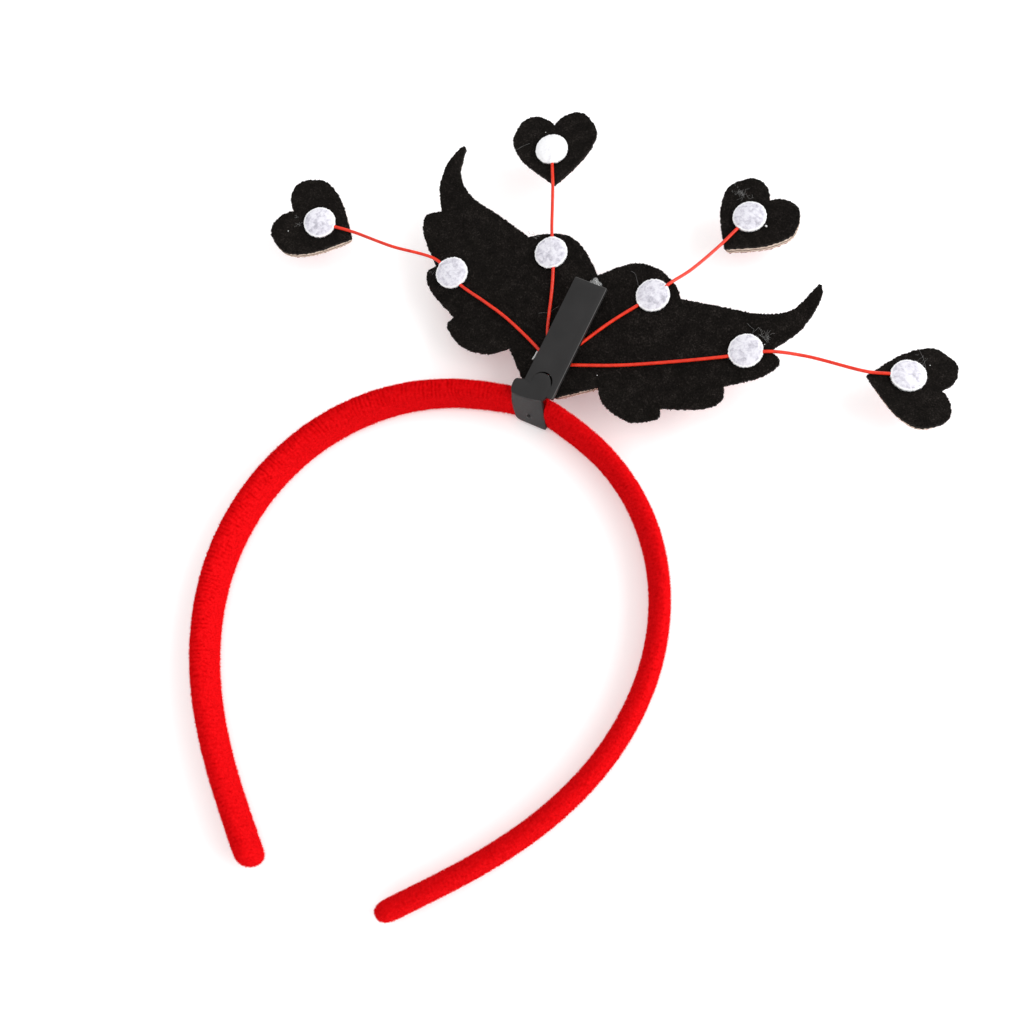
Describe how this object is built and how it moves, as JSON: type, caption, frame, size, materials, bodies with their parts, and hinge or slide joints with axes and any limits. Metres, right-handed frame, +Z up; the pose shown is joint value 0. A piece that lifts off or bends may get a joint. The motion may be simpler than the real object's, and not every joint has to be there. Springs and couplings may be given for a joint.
{
  "type": "winged heart headband",
  "caption": "Red plush headband with a clipped-on felt winged heart and small felt hearts on springy red wires, lying on its side with the ornament's back up.",
  "frame": {"origin": "under the middle of the part's box, on the surface that the band lies on", "axes": "+Z up from that surface, +Y from the band's open ends towards the winged heart, +X to the right seen from above"},
  "size_m": [0.199, 0.2284, 0.0208],
  "materials": {
    "red_plush": "short wound plush pile, matte",
    "black_plastic": "moulded, satin",
    "black_felt": "needled felt, matte",
    "tan_core": "plain stiffener, matte",
    "red_felt": "needled felt, matte",
    "white_felt": "needled felt, matte",
    "red_wire": "coated wire, gloss",
    "hot_glue": "translucent, set from the melt"
  },
  "bodies": {
    "root": {"band": "red_plush", "clip": "black_plastic", "stem": "black_plastic", "hot_glue": "hot_glue", "wing_felt": "black_felt", "wing_core": "tan_core", "wing_front": "red_felt", "heart_1_felt": "black_felt", "heart_1_core": "tan_core", "heart_1_front": "red_felt", "heart_2_felt": "black_felt", "heart_2_core": "tan_core", "heart_2_front": "red_felt", "heart_3_felt": "black_felt", "heart_3_core": "tan_core", "heart_3_front": "red_felt", "heart_4_felt": "black_felt", "heart_4_core": "tan_core", "heart_4_front": "red_felt", "wire_1": "red_wire", "wire_2": "red_wire", "wire_3": "red_wire", "wire_4": "red_wire", "wing_dot_1": "white_felt", "wing_dot_2": "white_felt", "wing_dot_3": "white_felt", "wing_dot_4": "white_felt", "heart_dot_1": "white_felt", "heart_dot_2": "white_felt", "heart_dot_3": "white_felt", "heart_dot_4": "white_felt"}
  },
  "joints": []
}
